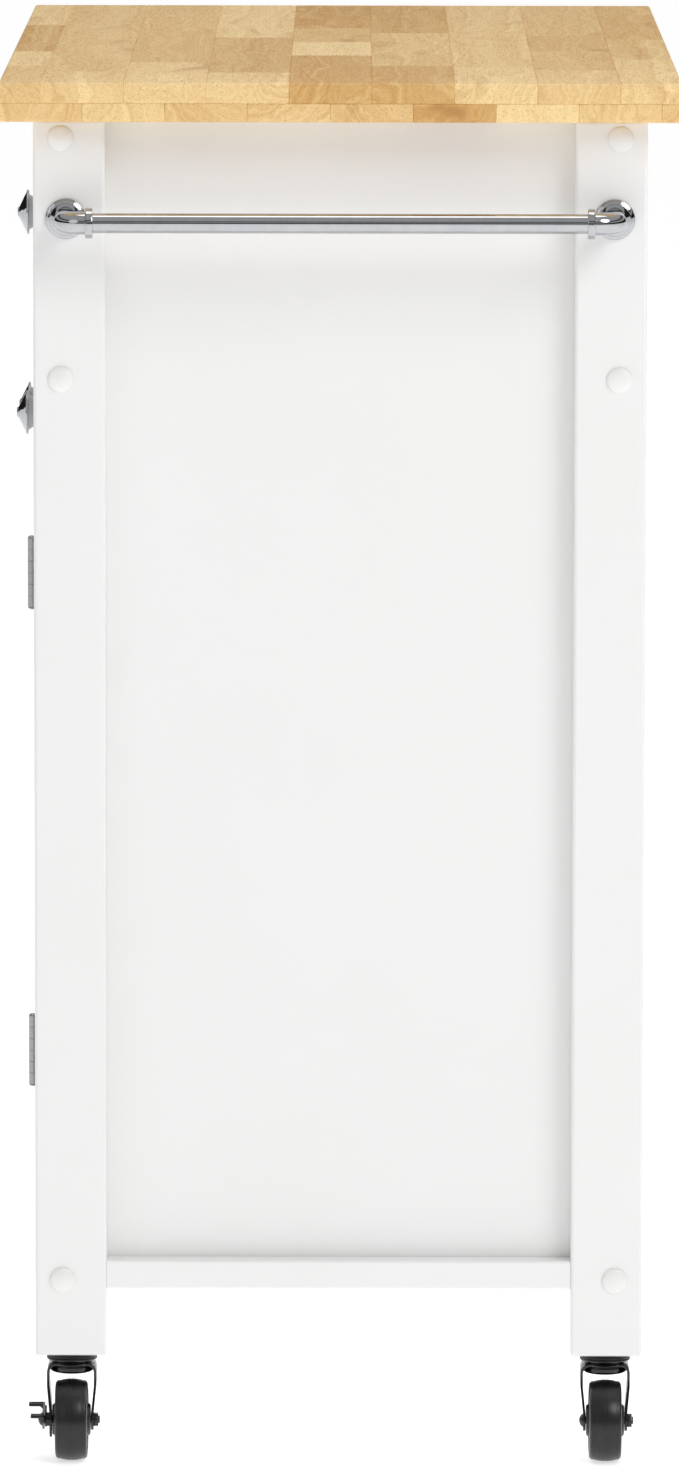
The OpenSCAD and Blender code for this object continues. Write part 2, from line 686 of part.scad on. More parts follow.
module drawer_bottom() color(birch) on_cart()
    translate([-drawer_in - drawer_groove + wood_fit, drawer_y, drawer_bottom_z])
        cube([2 * (drawer_in + drawer_groove - wood_fit), drawer_l, drawer_bottom_t]);

module drawer_knob() color(chrome) on_cart() translate([0, -body_w / 2, drawer_mid_z]) along_y(-1) knob();

// A sheet-metal channel along Y with its web at x = 0 and its flanges towards +X, centred in height.
module channel(w, l, h) difference() {
    translate([0, 0, -h / 2]) cube([w, l, h]);
    translate([runner_t, -1, runner_t - h / 2]) cube([w, l + 2, h - 2 * runner_t]);
}

module cabinet_runners() color(nylon) on_cart() for (s = [0, 1]) mirror([s, 0, 0])
    translate([in_l / 2, drawer_y + 2 * runner_end_gap, runner_z]) mirror([1, 0, 0])
        channel(runner_w - runner_t - runner_side_gap,
                leg_y - runner_leg_gap - drawer_y - 2 * runner_end_gap, runner_h);

module drawer_runners() color(nylon) on_cart() for (s = [0, 1]) mirror([s, 0, 0])
    translate([in_l / 2 - runner_w, drawer_y + runner_end_gap, runner_z])
        channel(runner_w - runner_t - runner_side_gap, drawer_l - 2 * runner_end_gap,
                runner_h - 2 * (runner_t + runner_gap));

// ---- Towel bar ----

module at_bar_feet() for (sy = [-1, 1]) translate([body_l / 2, sy * bar_span / 2, bar_z])
    along_x() rotate([0, 0, -90 * sy]) children();

foot_h = 7;
foot_step_r = 1;
foot_steps = [[1, 1.2], [3.2, 3]];
foot_neck_r = 2.6;
collar_edge = 0.6;

// A stepped foot, an elbow towards +X and the collar that holds the bar's end.
module bar_bracket() difference() {
    union() {
        rotate_extrude() polygon(concat(
            [[0, 0]],
            [for (step = foot_steps) each arc(foot_d / 2 - step[0], step[1], foot_step_r, 0, 90, 4)],
            arc(foot_d / 2 - 5, foot_h, foot_neck_r, 270, 180, 5),
            [[0, foot_h]]));
        cylinder(d = elbow_d, h = bar_out - elbow_r);
        translate([elbow_r, 0, bar_out - elbow_r]) rotate([90, 0, 0]) rotate([0, 0, 90])
            rotate_extrude(angle = 90) translate([elbow_r, 0]) circle(d = elbow_d);
        translate([elbow_r - 1, 0, bar_out]) along_x() rotate_extrude() polygon([
            [0, 0], [collar_d / 2 - collar_edge, 0], [collar_d / 2, collar_edge],
            [collar_d / 2, collar_l + 1 - collar_edge], [collar_d / 2 - collar_edge, collar_l + 1],
            [0, collar_l + 1]]);
    }
    translate([elbow_r, 0, bar_out]) along_x() cylinder(d = bar_d + 2 * run_fit, h = collar_l + 1);
    translate([0, 0, -1]) cylinder(d = stud_d, h = stud_out + 1);
}

module towel_bar_brackets() color(chrome) on_cart() at_bar_feet() bar_bracket();

module towel_bar() color(chrome) on_cart()
    translate([body_l / 2 + bar_out, 0, bar_z]) along_y() difference() {
        rod(bar_d, bar_span - 2 * elbow_r);
        rod(bar_d - 2 * bar_wall, bar_span);
    }

module towel_bar_studs() color(steel) on_cart() at_bar_feet()
    translate([0, 0, -stud_in]) cylinder(d = stud_d, h = stud_in + stud_out);

// ---- Casters ----

race_h = 4;
dish_drop = 7.2;
cup_drop = 13.9;
cup_d = 27.6;
king_d = 8;
king_head_d = 14;
king_head_h = 2;
turn_gap = 0.3;
shoulder_r = 6;
fork_end_r = 7;
fork_l = 25;
fork_waist_up = 5;
fork_hip_up = 22;
fork_tail = 5.5;
fork_tail_r = 6.2;
fork_bend = 14;
axle_z = wheel_d / 2;
fork_axle_w = hub_w + 2 * (hub_gap + fork_t);
dish_top = caster_h - race_h - turn_gap;
dish_z = caster_h - dish_drop;
cup_z = caster_h - cup_drop;
dish_rim_r = race_d / 2 - 0.4;

module stem_inserts() color(steel) on_cart() at_legs() translate([0, 0, caster_h]) difference() {
    cylinder(d = insert_d, h = stem_l);
    translate([0, 0, -1]) cylinder(d = stem_d + 2 * run_fit, h = stem_l + 2);
}

// The threaded stem, the upper raceway and the swivel pin with its riveted head.
module caster_stems() color(black) on_cart() at_legs() {
    translate([0, 0, caster_h]) cylinder(d = stem_d, h = stem_l - 1);
    translate([0, 0, caster_h - race_h]) rotate_extrude() polygon([
        [0, 0], [race_d / 2 - 0.4, 0], [race_d / 2, 0.5], [race_d / 2 - 3.4, race_h], [0, race_h]]);
    translate([0, 0, cup_z - turn_gap]) {
        cylinder(d = king_d, h = cup_drop + turn_gap);
        mirror([0, 0, 1]) dome(king_head_d, king_head_h);
    }
}

// Two circles joined by their outer tangents.
module link(p, rp, q, rq) {
    d = norm(q - p);
    turn = atan2(q.y - p.y, q.x - p.x);
    lean = acos((rp - rq) / d);
    function at(c, r, a) = c + r * [cos(a), sin(a)];
    translate(p) circle(rp);
    translate(q) circle(rq);
    polygon([at(p, rp, turn + lean), at(q, rq, turn + lean),
             at(q, rq, turn - lean), at(p, rp, turn - lean)]);
}

// A plate with round ends between two places.
module arm(p, rp, q, rq) hull() {
    translate(p) circle(rp);
    translate(q) circle(rq);
}

// The outside of the bent fork seen along X, or its inside when grown inwards by t.
module fork_arch(t) {
    a = fork_axle_w / 2 - t;
    b = fork_w / 2 - t;
    r = shoulder_r - t;
    top = dish_z - t;
    foot = axle_z - fork_tail - fork_tail_r - (t > 0 ? 2 : 1);
    waist = axle_z + fork_waist_up;
    hip = axle_z + fork_hip_up;
    polygon([[-a, foot], [-a, waist], [-b, hip], [-b, top - r], [r - b, top],
             [b - r, top], [b, top - r], [b, hip], [a, waist], [a, foot]]);
    for (s = [-1, 1]) translate([s * (b - r), top - r]) circle(r);
}

// The fork seen along Y.
module fork_side() {
    link([trail, axle_z], fork_end_r, [0, dish_z - fork_bend], fork_l / 2);
    translate([-fork_l / 2, dish_z - fork_bend]) square([fork_l, fork_bend + 2]);
}

// The fork with its dished top; on the brake's side its leg reaches further down.
module fork(brake = false) difference() {
    union() {
        intersection() {
            rotate([90, 0, 90]) linear_extrude(4 * fork_l, center = true) difference() {
                fork_arch(0);
                fork_arch(fork_t);
            }
            union() {
                rotate([90, 0, 0]) linear_extrude(2 * fork_w, center = true) fork_side();
                if (brake) rotate([90, 0, 0]) linear_extrude(fork_w)
                    link([trail, axle_z], fork_tail_r + 0.4, [trail, axle_z - fork_tail], fork_tail_r);
            }
        }
        rotate_extrude() polygon([
            [0, cup_z], [cup_d / 2 - 1, cup_z], [cup_d / 2, cup_z + 1], [cup_d / 2, dish_z],
            [dish_rim_r, dish_top - 0.6], [dish_rim_r, dish_top], [0, dish_top]]);
    }
    translate([0, 0, cup_z - 1]) cylinder(d = king_d + 2 * run_fit, h = cup_drop + 2);
    translate([trail, 0, axle_z]) along_y() rod(axle_d + 2 * run_fit, 2 * fork_w);
}

lever_gap = 0.3;
lever_y = fork_axle_w / 2 + lever_out;
axle_head_d = 9;
axle_head_h = 2.6;
axle_nut_d = 9.2;
axle_nut_h = 3;

cam_t = 1.1;
cam_r = 5;
cam_up = 6.5;
cam_top_r = 2.8;
cam_y = lever_out - lever_gap - cam_t;

// A pivot bolt with a domed head at the front and a nut at the back. With a brake it is longer,
// and a spacer and a cam plate lie between the fork and the lever.
module axle(brake = false) translate([trail, 0, axle_z]) {
    room = brake ? lever_out + lever_t + lever_gap : 0;
    translate([0, -fork_axle_w / 2, 0]) {
        translate([0, -room, 0]) along_y(-1) dome(axle_head_d, axle_head_h);
        translate([0, -room, 0]) along_y() cylinder(d = axle_d, h = fork_axle_w + room + axle_nut_h + 1);
        if (brake) {
            along_y(-1) cylinder(d = axle_head_d, h = cam_y - run_fit);
            translate([0, -cam_y, 0]) rotate([90, 0, 0]) linear_extrude(cam_t) difference() {
                arm([0, 0], cam_r, [0, cam_up], cam_top_r);
                circle(d = axle_d + 2 * run_fit);
            }
        }
    }
    translate([0, fork_axle_w / 2, 0]) along_y() difference() {
        cylinder(d = axle_nut_d, h = axle_nut_h, $fn = 6);
        translate([0, 0, -1]) cylinder(d = axle_d + 2 * run_fit, h = axle_nut_h + 2);
    }
}

boss_r = 10.5;
web_w = 15;
rim_t = 3;
module wheel_hub() translate([trail, 0, axle_z]) rotate([90, 0, 0]) rotate_extrude() {
    rim_r = wheel_d / 2 - tread_t;
    bore_r = axle_d / 2 + run_fit;
    half = hub_w / 2;
    polygon([
        [bore_r, -half], [boss_r - 1, -half], [boss_r, 1 - half], [boss_r, -web_w / 2],
        [rim_r - rim_t, -web_w / 2], [rim_r - rim_t, 0.5 - tread_w / 2], [rim_r, 0.5 - tread_w / 2],
        [rim_r, tread_w / 2 - 0.5], [rim_r - rim_t, tread_w / 2 - 0.5], [rim_r - rim_t, web_w / 2],
        [boss_r, web_w / 2], [boss_r, half - 1], [boss_r - 1, half], [bore_r, half]]);
}

tread_edge = 3;
crown = 0.4;
module tread() translate([trail, 0, axle_z]) rotate([90, 0, 0]) rotate_extrude() {
    r = wheel_d / 2;
    half = tread_w / 2;
    flat = half - tread_edge;
    big = (flat * flat + crown * crown) / (2 * crown);
    swing = asin(flat / big);
    polygon(concat(
        [[r - tread_t, -half]],
        arc(r - crown - tread_edge, -flat, tread_edge, -90, -swing, 5),
        arc(r - big, 0, big, -swing, swing, 6),
        arc(r - crown - tread_edge, flat, tread_edge, swing, 90, 5),
        [[r - tread_t, half]]));
}

tab_t = 1.8;
tab_l = 7;
tab_far = 12;
tab_bend = 1.8;
tabs = [[tab_far, 3.6, 8.7], [-tab_far, 6.6, 10.5]];
lever_r = 6.5;
lever_tip_r = 3.5;

// The lever's plate beside the fork, with a tab bent outwards at each end.
module brake_lever() translate([trail, -lever_y, axle_z]) difference() {
    union() {
        rotate([90, 0, 0]) linear_extrude(lever_t) for (tab = tabs)
            arm([0, 0], lever_r, [tab[0] - sign(tab[0]), tab[1] - 1], lever_tip_r);
        for (tab = tabs) translate([tab[0] - tab_l / 2, 0, tab[1]])
            rotate([90, 0, 90]) linear_extrude(tab_l) polygon([
                [0, -tab_bend], [0, tab_t], [-tab[2], tab_t], [-tab[2], 0],
                [-lever_t - tab_bend, 0], [-lever_t, -tab_bend]]);
    }
    along_y() rod(axle_d + 2 * run_fit, 4 * lever_t);
}

module at_caster(sx, sy) on_cart() translate([sx * leg_x, sy * leg_y, 0]) children();

module fork_front_left() color(black) at_caster(-1, -1) fork(true);
module fork_front_right() color(black) at_caster(1, -1) fork(true);
module fork_rear_left() color(black) at_caster(-1, 1) fork();
module fork_rear_right() color(black) at_caster(1, 1) fork();
module axle_front_left() color(black) at_caster(-1, -1) axle(true);
module axle_front_right() color(black) at_caster(1, -1) axle(true);
module axle_rear_left() color(black) at_caster(-1, 1) axle();
module axle_rear_right() color(black) at_caster(1, 1) axle();
module wheel_front_left() color(black) at_caster(-1, -1) wheel_hub();
module wheel_front_right() color(black) at_caster(1, -1) wheel_hub();
module wheel_rear_left() color(black) at_caster(-1, 1) wheel_hub();
module wheel_rear_right() color(black) at_caster(1, 1) wheel_hub();
module tread_front_left() color(black) at_caster(-1, -1) tread();
module tread_front_right() color(black) at_caster(1, -1) tread();
module tread_rear_left() color(black) at_caster(-1, 1) tread();
module tread_rear_right() color(black) at_caster(1, 1) tread();
module brake_lever_left() color(black) at_caster(-1, -1) brake_lever();
module brake_lever_right() color(black) at_caster(1, -1) brake_lever();

worktop();
leg_front_left();
leg_front_right();
leg_rear_left();
leg_rear_right();
side_panel_left();
side_panel_right();
end_rails();
front_rails();
rear_rails();
back_panels();
bottom_board();
shelf();
shelf_pins();
frame_bolts();
barrel_nuts();
bolt_caps();
rail_dowels();
worktop_screws();
cabinet_runners();
hinge_frame_leaves();
hinge_pins();
door_catches();
towel_bar();
towel_bar_brackets();
towel_bar_studs();
stem_inserts();
caster_stems();
drawer_front();
drawer_sides();
drawer_back();
drawer_bottom();
drawer_runners();
drawer_knob();
door_frame_left();
door_panel_left();
door_fittings_left();
door_knob_left();
door_frame_right();
door_panel_right();
door_fittings_right();
door_knob_right();
fork_front_left();
fork_front_right();
fork_rear_left();
fork_rear_right();
axle_front_left();
axle_front_right();
axle_rear_left();
axle_rear_right();
wheel_front_left();
wheel_front_right();
wheel_rear_left();
wheel_rear_right();
tread_front_left();
tread_front_right();
tread_rear_left();
tread_rear_right();
brake_lever_left();
brake_lever_right();
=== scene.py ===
import json
import math
import random

import bmesh
import bpy
from mathutils import Matrix, Quaternion, Vector

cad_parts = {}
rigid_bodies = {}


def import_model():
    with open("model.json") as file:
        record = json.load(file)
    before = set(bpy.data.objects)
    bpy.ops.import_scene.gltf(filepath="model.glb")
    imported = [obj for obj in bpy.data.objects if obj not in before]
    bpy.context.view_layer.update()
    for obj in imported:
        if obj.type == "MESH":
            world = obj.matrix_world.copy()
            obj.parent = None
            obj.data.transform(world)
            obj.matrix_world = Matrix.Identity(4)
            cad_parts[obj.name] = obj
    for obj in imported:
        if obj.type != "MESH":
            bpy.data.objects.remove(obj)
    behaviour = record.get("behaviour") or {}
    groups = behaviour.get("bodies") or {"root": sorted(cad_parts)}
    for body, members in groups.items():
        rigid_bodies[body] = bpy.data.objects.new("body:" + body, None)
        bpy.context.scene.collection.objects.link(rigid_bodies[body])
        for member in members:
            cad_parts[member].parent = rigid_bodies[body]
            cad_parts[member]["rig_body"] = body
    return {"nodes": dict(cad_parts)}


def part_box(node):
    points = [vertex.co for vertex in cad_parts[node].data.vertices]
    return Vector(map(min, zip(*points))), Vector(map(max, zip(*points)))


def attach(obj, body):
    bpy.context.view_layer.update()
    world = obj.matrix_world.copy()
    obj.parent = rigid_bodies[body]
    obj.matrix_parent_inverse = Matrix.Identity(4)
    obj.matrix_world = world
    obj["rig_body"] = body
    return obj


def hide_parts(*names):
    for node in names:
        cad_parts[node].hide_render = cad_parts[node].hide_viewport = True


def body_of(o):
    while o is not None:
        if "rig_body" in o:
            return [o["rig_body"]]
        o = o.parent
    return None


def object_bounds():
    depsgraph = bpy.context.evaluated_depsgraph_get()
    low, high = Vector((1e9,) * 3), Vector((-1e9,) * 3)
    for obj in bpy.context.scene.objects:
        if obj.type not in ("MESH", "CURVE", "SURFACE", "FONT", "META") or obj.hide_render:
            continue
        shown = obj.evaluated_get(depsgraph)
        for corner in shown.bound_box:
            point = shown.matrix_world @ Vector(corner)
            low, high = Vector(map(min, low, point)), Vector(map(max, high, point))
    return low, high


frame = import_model()
cadLow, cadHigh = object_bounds()
mm = 0.001
print("frame loaded,", len(frame["nodes"]), "nodes")


# shader helpers

class Wire:
    # one output socket; sums on values add Math nodes
    def __init__(self, finish, socket):
        self.finish, self.socket = finish, socket

    def sum(self, operation, a, b):
        return self.finish.add("ShaderNodeMath", {"operation": operation}, {0: a, 1: b})

    def __add__(self, other): return self.sum("ADD", self, other)
    def __radd__(self, other): return self.sum("ADD", other, self)
    def __sub__(self, other): return self.sum("SUBTRACT", self, other)
    def __rsub__(self, other): return self.sum("SUBTRACT", other, self)
    def __mul__(self, other): return self.sum("MULTIPLY", self, other)
    def __rmul__(self, other): return self.sum("MULTIPLY", other, self)
    def __pow__(self, other): return self.sum("POWER", self, other)

    def also(self, name):
        # another output of the same node
        return Wire(self.finish, self.socket.node.outputs[name])


class Finish:
    # one material and its node tree
    def __init__(self, name, slotName):
        self.material = bpy.data.materials.new(name)
        self.material.use_nodes = True
        self.slotName = slotName
        self.tree = self.material.node_tree
        self.tree.nodes.clear()

    def add(self, kind, settings, sockets, out=0):
        node = self.tree.nodes.new(kind)
        for key, value in settings.items():
            if key == "stops":
                stops = node.color_ramp.elements
                while len(stops) < len(value):
                    stops.new(0.5)
                for stop, (place, colour) in zip(stops, value):
                    stop.position, stop.color = place, colour
            else:
                setattr(node, key, value)
        for key, value in sockets.items():
            if isinstance(value, Wire):
                self.tree.links.new(value.socket, node.inputs[key])
            else:
                node.inputs[key].default_value = value
        return Wire(self, node.outputs[out]) if node.outputs else None

    def place(self, scale=(1, 1, 1), shift=(0, 0, 0), turn=(0, 0, 0)):
        # object coordinates in metres, stretched or turned
        coords = self.add("ShaderNodeTexCoord", {}, {}, "Object")
        return self.add("ShaderNodeMapping", {}, {0: coords, 1: shift, 2: turn, 3: scale})

    def noise(self, at, scale, detail=2.0, rough=0.5, distortion=0.0):
        return self.add("ShaderNodeTexNoise", {}, {"Vector": at, "Scale": scale, "Detail": detail,
                                                   "Roughness": rough, "Distortion": distortion})

    def spread(self, value, low, high, toLow=0.0, toHigh=1.0, kind="LINEAR"):
        return self.add("ShaderNodeMapRange", {"interpolation_type": kind},
                        {0: value, 1: low, 2: high, 3: toLow, 4: toHigh})

    def blend(self, share, a, b, kind="MIX"):
        # colours a and b mixed by share
        return self.add("ShaderNodeMix", {"data_type": "RGBA", "blend_type": kind},
                        {0: share, 6: a, 7: b}, 2)

    def bump(self, height, depth, strength=1.0, under=None):
        sockets = {"Height": height, "Distance": depth, "Strength": strength}
        if under:
            sockets["Normal"] = under
        return self.add("ShaderNodeBump", {}, sockets)

    def close(self, **sockets):
        # the shader itself; names with spaces are given with underscores
        named = {key.replace("_", " "): value for key, value in sockets.items()}
        shader = self.add("ShaderNodeBsdfPrincipled", {}, named)
        self.add("ShaderNodeOutputMaterial", {}, {"Surface": shader})
        return self


def shade(r, g, b):
    # an 8-bit screen colour as linear light
    def linear(v):
        v /= 255
        return v / 12.92 if v <= 0.04045 else ((v + 0.055) / 1.055) ** 2.4
    return (linear(r), linear(g), linear(b), 1)


# finishes

blockWood = {"ringGap": 0.0042, "poreLength": 0.016, "poreWidth": 0.0007, "light": (253, 222, 162),
             "dark": (210, 160, 90), "pore": (150, 104, 52), "stain": (176, 122, 62), "sheen": 0.46,
             "waver": 0.055, "waverAt": (2.2, 8, 8), "fibreAt": (14, 420, 420), "stainAt": (7, 26, 26),
             "stainShare": 0.62, "poreShare": 0.38, "grainShare": 0.95, "toneShare": 0.66}


def makeButcherBlock():
    f = Finish("butcherBlock", "butcher_block")
    coords = f.add("ShaderNodeTexCoord", {}, {}, "Object")
    shift = f.add("ShaderNodeAttribute", {"attribute_name": "grainShift"}, {}, "Vector")
    tone = f.add("ShaderNodeAttribute", {"attribute_name": "blockTone"}, {}, "Fac")
    at = f.add("ShaderNodeVectorMath", {"operation": "ADD"}, {0: coords, 1: shift})
    slow = f.add("ShaderNodeMapping", {}, {0: at, 3: blockWood["waverAt"]})
    warp = f.noise(slow, 3.0, 3.0, 0.55)
    axes = f.add("ShaderNodeSeparateXYZ", {}, {0: at}, "Y")
    across, up = axes, axes.also("Z")
    radius = (across * across + up * up) ** 0.5 + (warp - 0.5) * blockWood["waver"]
    rings = f.add("ShaderNodeTexNoise", {"noise_dimensions": "1D"},
                  {"W": radius, "Scale": 1 / blockWood["ringGap"], "Detail": 2.0, "Roughness": 0.6})
    broad = f.add("ShaderNodeTexNoise", {"noise_dimensions": "1D"},
                  {"W": radius, "Scale": 0.22 / blockWood["ringGap"], "Detail": 1.0})
    poreScale = (1 / blockWood["poreLength"], 1 / blockWood["poreWidth"], 1 / blockWood["poreWidth"])
    poreAt = f.add("ShaderNodeMapping", {}, {0: at, 3: poreScale})
    pores = f.spread(f.noise(poreAt, 1.0, 1.0, 0.5), 0.56, 0.70)
    fibreAt = f.add("ShaderNodeMapping", {}, {0: at, 3: blockWood["fibreAt"]})
    fibre = f.noise(fibreAt, 1.0, 4.0, 0.6)
    grain = rings * 0.55 + broad * 0.35 + fibre * 0.3 - 0.1
    light, dark = shade(*blockWood["light"]), shade(*blockWood["dark"])
    paleness = f.spread(grain * blockWood["grainShare"] + tone * blockWood["toneShare"], 0.44, 1.14)
    base = f.blend(paleness, dark, light)
    stainAt = f.add("ShaderNodeMapping", {}, {0: at, 3: blockWood["stainAt"]})
    stain = f.spread(f.noise(stainAt, 1.0, 3.0, 0.6, 0.6), 0.60, 0.78)
    stained = f.blend(stain * blockWood["stainShare"], base, shade(*blockWood["stain"]))
    colour = f.blend(pores * blockWood["poreShare"], stained, shade(*blockWood["pore"]))
    rough = blockWood["sheen"] + (fibre - 0.5) * 0.14 + pores * 0.1
    normal = f.bump(pores * -0.6 + fibre * 0.4, 0.00012, 0.8)
    return f.close(Base_Color=colour, Roughness=rough, Normal=normal)


paintLook = {"white": (243, 243, 243), "shadeWhite": (239, 239, 238), "rough": 0.4}


def makeWhitePaint():
    f = Finish("satinWhitePaint", "white_paint")
    at = f.place()
    cloud = f.noise(at, 7.0, 3.0)
    colour = f.blend(cloud, shade(*paintLook["shadeWhite"]), shade(*paintLook["white"]))
    peel = f.noise(at, 650.0, 2.0, 0.6)
    brush = f.noise(f.place((700, 700, 18)), 1.0, 3.0, 0.6)
    rough = paintLook["rough"] + (f.noise(at, 40.0, 3.0) - 0.5) * 0.12
    normal = f.bump(peel * 0.6 + brush * 0.5, 0.00005, 0.6)
    return f.close(Base_Color=colour, Roughness=rough, Normal=normal, Coat_Weight=0.08, Coat_Roughness=0.25)


birchLook = {"light": (226, 204, 168), "dark": (205, 176, 134), "rough": 0.5}


def makeBirch():
    f = Finish("clearBirch", "birch")
    at = f.place((260, 8, 260))
    streak = f.noise(at, 1.0, 4.0, 0.6, 0.4)
    cloud = f.noise(f.place((10, 3, 10)), 1.0, 2.0)
    colour = f.blend(streak * 0.6 + cloud * 0.4, shade(*birchLook["dark"]), shade(*birchLook["light"]))
    return f.close(Base_Color=colour, Roughness=birchLook["rough"] + (streak - 0.5) * 0.15,
                   Normal=f.bump(streak, 0.00008, 0.5))


def makeChrome():
    f = Finish("polishedChrome", "chrome")
    at = f.place()
    smudge = f.noise(at, 90.0, 4.0, 0.6)
    colour = f.blend(smudge, (0.40, 0.41, 0.43, 1), (0.52, 0.525, 0.54, 1))
    return f.close(Base_Color=colour, Metallic=1.0, Roughness=f.spread(smudge, 0.35, 0.75, 0.045, 0.1),
                   Normal=f.bump(f.noise(at, 420.0, 1.0), 0.000004, 0.4))


def makeMetal(name, slotName, low, high, rough, brushed=(900, 900, 900)):
    f = Finish(name, slotName)
    grain = f.noise(f.place(brushed), 1.0, 3.0, 0.6)
    cloud = f.noise(f.place(), 60.0, 3.0)
    colour = f.blend(cloud, low, high)
    return f.close(Base_Color=colour, Metallic=1.0, Roughness=rough + (grain - 0.5) * 0.12,
                   Normal=f.bump(grain, 0.00002, 0.4))


def makeDull(name, slotName, low, high, rough, fine=1500.0, depth=0.00003, coat=0.0):
    # plastics, rubber and enamel: slight mottling, fine tooth, varied gloss
    f = Finish(name, slotName)
    at = f.place()
    cloud = f.noise(at, 55.0, 3.0, 0.6)
    tooth = f.noise(at, fine, 2.0, 0.6)
    colour = f.blend(cloud, shade(*low), shade(*high))
    return f.close(Base_Color=colour, Roughness=rough + (cloud - 0.5) * 0.14 + (tooth - 0.5) * 0.05,
                   Normal=f.bump(tooth, depth, 0.6), Coat_Weight=coat, Coat_Roughness=0.12)


butcherBlock = makeButcherBlock()
whitePaint = makeWhitePaint()
clearBirch = makeBirch()
polishedChrome = makeChrome()
satinNickel = makeMetal("satinNickel", "steel", (0.30, 0.30, 0.31, 1), (0.42, 0.42, 0.43, 1), 0.30,
                        (300, 300, 2500))
zincSteel = makeMetal("zincSteel", "steel", (0.55, 0.56, 0.57, 1), (0.66, 0.66, 0.66, 1), 0.36)
capPlastic = makeDull("whiteCapPlastic", "white_plastic", (236, 236, 234), (242, 242, 241), 0.3)
runnerEnamel = makeDull("whiteRunnerEnamel", "white_enamel", (228, 228, 226), (236, 236, 235), 0.28)
blackEnamel = makeDull("glossBlackEnamel", "black_steel", (5, 5, 6), (11, 11, 12), 0.24, 900.0, 0.00002, 0.15)
blackNylon = makeDull("blackNylon", "black_nylon", (13, 13, 14), (21, 21, 22), 0.32)
treadRubber = makeDull("greyTreadRubber", "tread_rubber", (13, 13, 15), (23, 23, 25), 0.33, 1100.0, 0.00004)
finishes = [butcherBlock, whitePaint, clearBirch, polishedChrome, satinNickel, zincSteel, capPlastic,
            runnerEnamel, blackEnamel, blackNylon, treadRubber]
print("finishes made,", len(finishes))

# which finish each carried-over CAD node takes, by the start of its name
nodeFinish = [("worktop_screws", zincSteel), ("worktop", butcherBlock), ("leg_", whitePaint),
              ("side_panel", whitePaint),
              ("end_rails", whitePaint), ("front_rails", whitePaint), ("rear_rails", whitePaint),
              ("back_panels", whitePaint), ("bottom_board", whitePaint), ("shelf_pins", zincSteel),
              ("shelf", whitePaint), ("frame_bolts", zincSteel), ("barrel_nuts", zincSteel),
              ("bolt_caps", capPlastic), ("rail_dowels", clearBirch),
              ("cabinet_runners", runnerEnamel), ("hinge_", satinNickel), ("door_catches", capPlastic),
              ("towel_bar_studs", zincSteel), ("towel_bar", polishedChrome), ("stem_inserts", zincSteel),
              ("caster_stems", blackEnamel), ("drawer_front", whitePaint), ("drawer_runners", runnerEnamel),
              ("drawer_knob", polishedChrome), ("drawer_", clearBirch), ("door_frame", whitePaint),
              ("door_panel", whitePaint), ("door_fittings", satinNickel), ("door_knob", polishedChrome),
              ("fork_", blackEnamel), ("axle_", blackEnamel), ("wheel_", blackNylon),
              ("tread_", treadRubber), ("brake_", blackEnamel)]
for nodeName, obj in frame["nodes"].items():
    finish = next(made for start, made in nodeFinish if nodeName.startswith(start))
    obj.data.materials.clear()
    obj.data.materials.append(finish.material)

# modelling helpers

def clearSelection():
    if bpy.context.object and bpy.context.object.mode != "OBJECT":
        bpy.ops.object.mode_set(mode="OBJECT")
    bpy.ops.object.select_all(action="DESELECT")


def pickOnly(obj):
    clearSelection()
    obj.select_set(True)
    bpy.context.view_layer.objects.active = obj


def settle(obj):
    # place, turn and scale go into the mesh
    pickOnly(obj)
    bpy.ops.object.transform_apply(location=True, rotation=True, scale=True)


def tidyMesh(obj, merge=1e-6):
    # doubles merged, faces turned outwards
    pickOnly(obj)
    bpy.ops.object.mode_set(mode="EDIT")
    bpy.ops.mesh.select_all(action="SELECT")
    bpy.ops.mesh.remove_doubles(threshold=merge)
    bpy.ops.mesh.normals_make_consistent(inside=False)
    bpy.ops.object.mode_set(mode="OBJECT")


def smoothEdges(obj, degrees=35):
    pickOnly(obj)
    bpy.ops.object.shade_smooth_by_angle(angle=math.radians(degrees))


def applyBevel(obj, width, segments=2, degrees=50):
    pickOnly(obj)
    edge = obj.modifiers.new("edges", "BEVEL")
    edge.width, edge.segments, edge.limit_method = width, segments, "ANGLE"
    edge.angle_limit, edge.use_clamp_overlap = math.radians(degrees), True
    bpy.ops.object.modifier_apply(modifier=edge.name)


def copyOf(obj, name):
    made = obj.copy()
    made.data = obj.data.copy()
    made.name = name
    bpy.context.scene.collection.objects.link(made)
    return made


def joinAll(objs, name):
    clearSelection()
    for obj in objs:
        obj.select_set(True)
    bpy.context.view_layer.objects.active = objs[0]
    if len(objs) > 1:
        bpy.ops.object.join()
    objs[0].name = name
    return objs[0]


def arc(cx, cy, r, a0, a1, steps):
    # profile points in millimetres along an arc
    turns = [math.radians(a0 + (a1 - a0) * i / steps) for i in range(steps + 1)]
    return [(cx + r * math.cos(a), cy + r * math.sin(a)) for a in turns]


def extrudeProfile(profile, start, place, along):
    # the selected round face grows through (radius, height) points by extrude and scale
    radius, height = start
    for nextRadius, nextHeight in profile:
        bpy.ops.mesh.extrude_region_move(
            TRANSFORM_OT_translate={"value": along * (nextHeight - height) * mm})
        ratio = nextRadius / radius
        bpy.ops.transform.resize(value=(ratio, ratio, ratio), center_override=place + along * nextHeight * mm)
        radius, height = nextRadius, nextHeight


